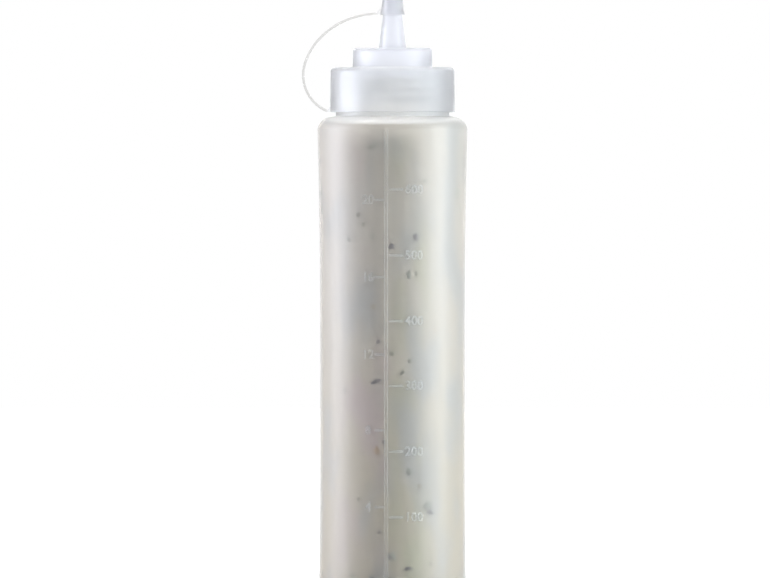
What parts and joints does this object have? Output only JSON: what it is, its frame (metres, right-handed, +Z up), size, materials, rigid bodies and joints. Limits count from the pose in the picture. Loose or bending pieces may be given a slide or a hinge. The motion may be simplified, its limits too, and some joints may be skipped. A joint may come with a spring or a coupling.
{
  "type": "squeeze bottle",
  "caption": "Translucent squeeze bottle filled with sauce, with a waisted body, stepped screw cap, conical nozzle and a tip cap on a curved strap.",
  "frame": {"origin": "centre of the standing ring under the bottle, on the bottle's axis", "axes": "+Z up along the bottle's axis; the strap hangs on the -X side; the scale faces -Y"},
  "size_m": [0.0773, 0.0702, 0.29],
  "materials": {
    "bottle_plastic": "frosted translucent polyethylene, cool white",
    "cap_plastic": "frosted translucent polyethylene, slightly bluer than the bottle",
    "sauce": "thick creamy dressing with herbs and pepper"
  },
  "bodies": {
    "root": {"bottle": "bottle_plastic", "sauce": "sauce", "screw_cap": "cap_plastic", "tip_cap": "cap_plastic"}
  },
  "joints": []
}
